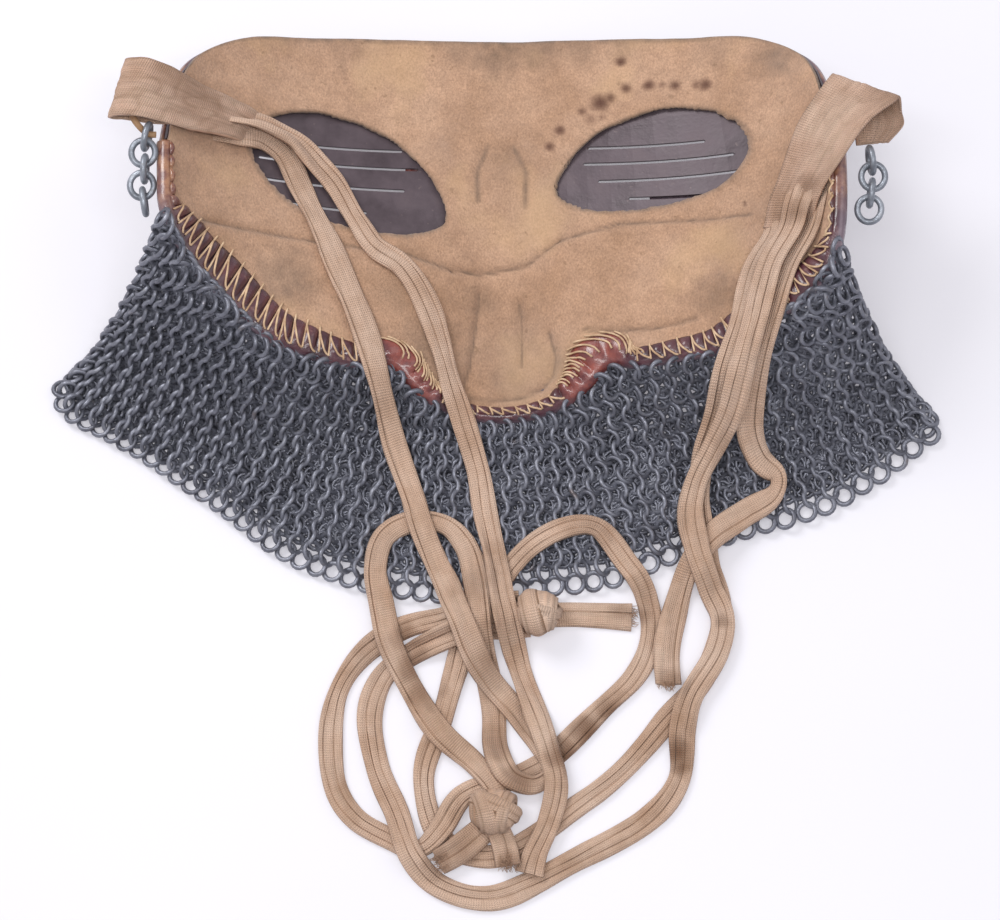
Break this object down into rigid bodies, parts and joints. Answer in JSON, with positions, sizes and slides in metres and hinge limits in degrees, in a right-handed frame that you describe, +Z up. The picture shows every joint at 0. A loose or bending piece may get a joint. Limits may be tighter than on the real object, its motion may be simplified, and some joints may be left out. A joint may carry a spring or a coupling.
{
  "type": "armoured splatter face mask with mail curtain",
  "caption": "Curved steel eye mask with sight slits, leather outside, chamois inside, a ring mail curtain and cotton ties, lying face down.",
  "frame": {"origin": "On the ground, below the middle of the box round the mask, its mail and its loops, without the free tapes.", "axes": "+X to the right temple side as pictured, +Y from the nose to the brow, +Z up, with the inside of the mask facing up."},
  "size_m": [0.284, 0.2835, 0.0648],
  "materials": {
    "painted_steel": "worn dark brown and purple grey paint, satin",
    "burgundy_leather": "worn glossy",
    "chamois": "soft suede nap",
    "mail_steel": "dull blue grey",
    "link_steel": "dull grey",
    "cotton_tape": "fine woven cotton",
    "tan_leather": "matte"
  },
  "bodies": {
    "root": {"face_plate": "painted_steel", "leather_cover": "burgundy_leather", "chamois_lining": "chamois", "mail_curtain": "mail_steel", "left_tape_loop": "cotton_tape", "right_tape_loop": "cotton_tape", "left_thong": "tan_leather", "tape_left_inner": "cotton_tape", "tape_left_outer": "cotton_tape", "tape_right_inner": "cotton_tape", "tape_right_outer": "cotton_tape", "tape_right_under": "cotton_tape", "knot_left": "cotton_tape", "knot_right": "cotton_tape", "left_link_1": "link_steel", "left_link_2": "link_steel", "left_link_3": "link_steel", "left_link_4": "link_steel", "left_link_5": "link_steel", "right_link_1": "link_steel", "right_link_2": "link_steel", "right_link_3": "link_steel", "right_link_4": "link_steel"}
  },
  "joints": []
}
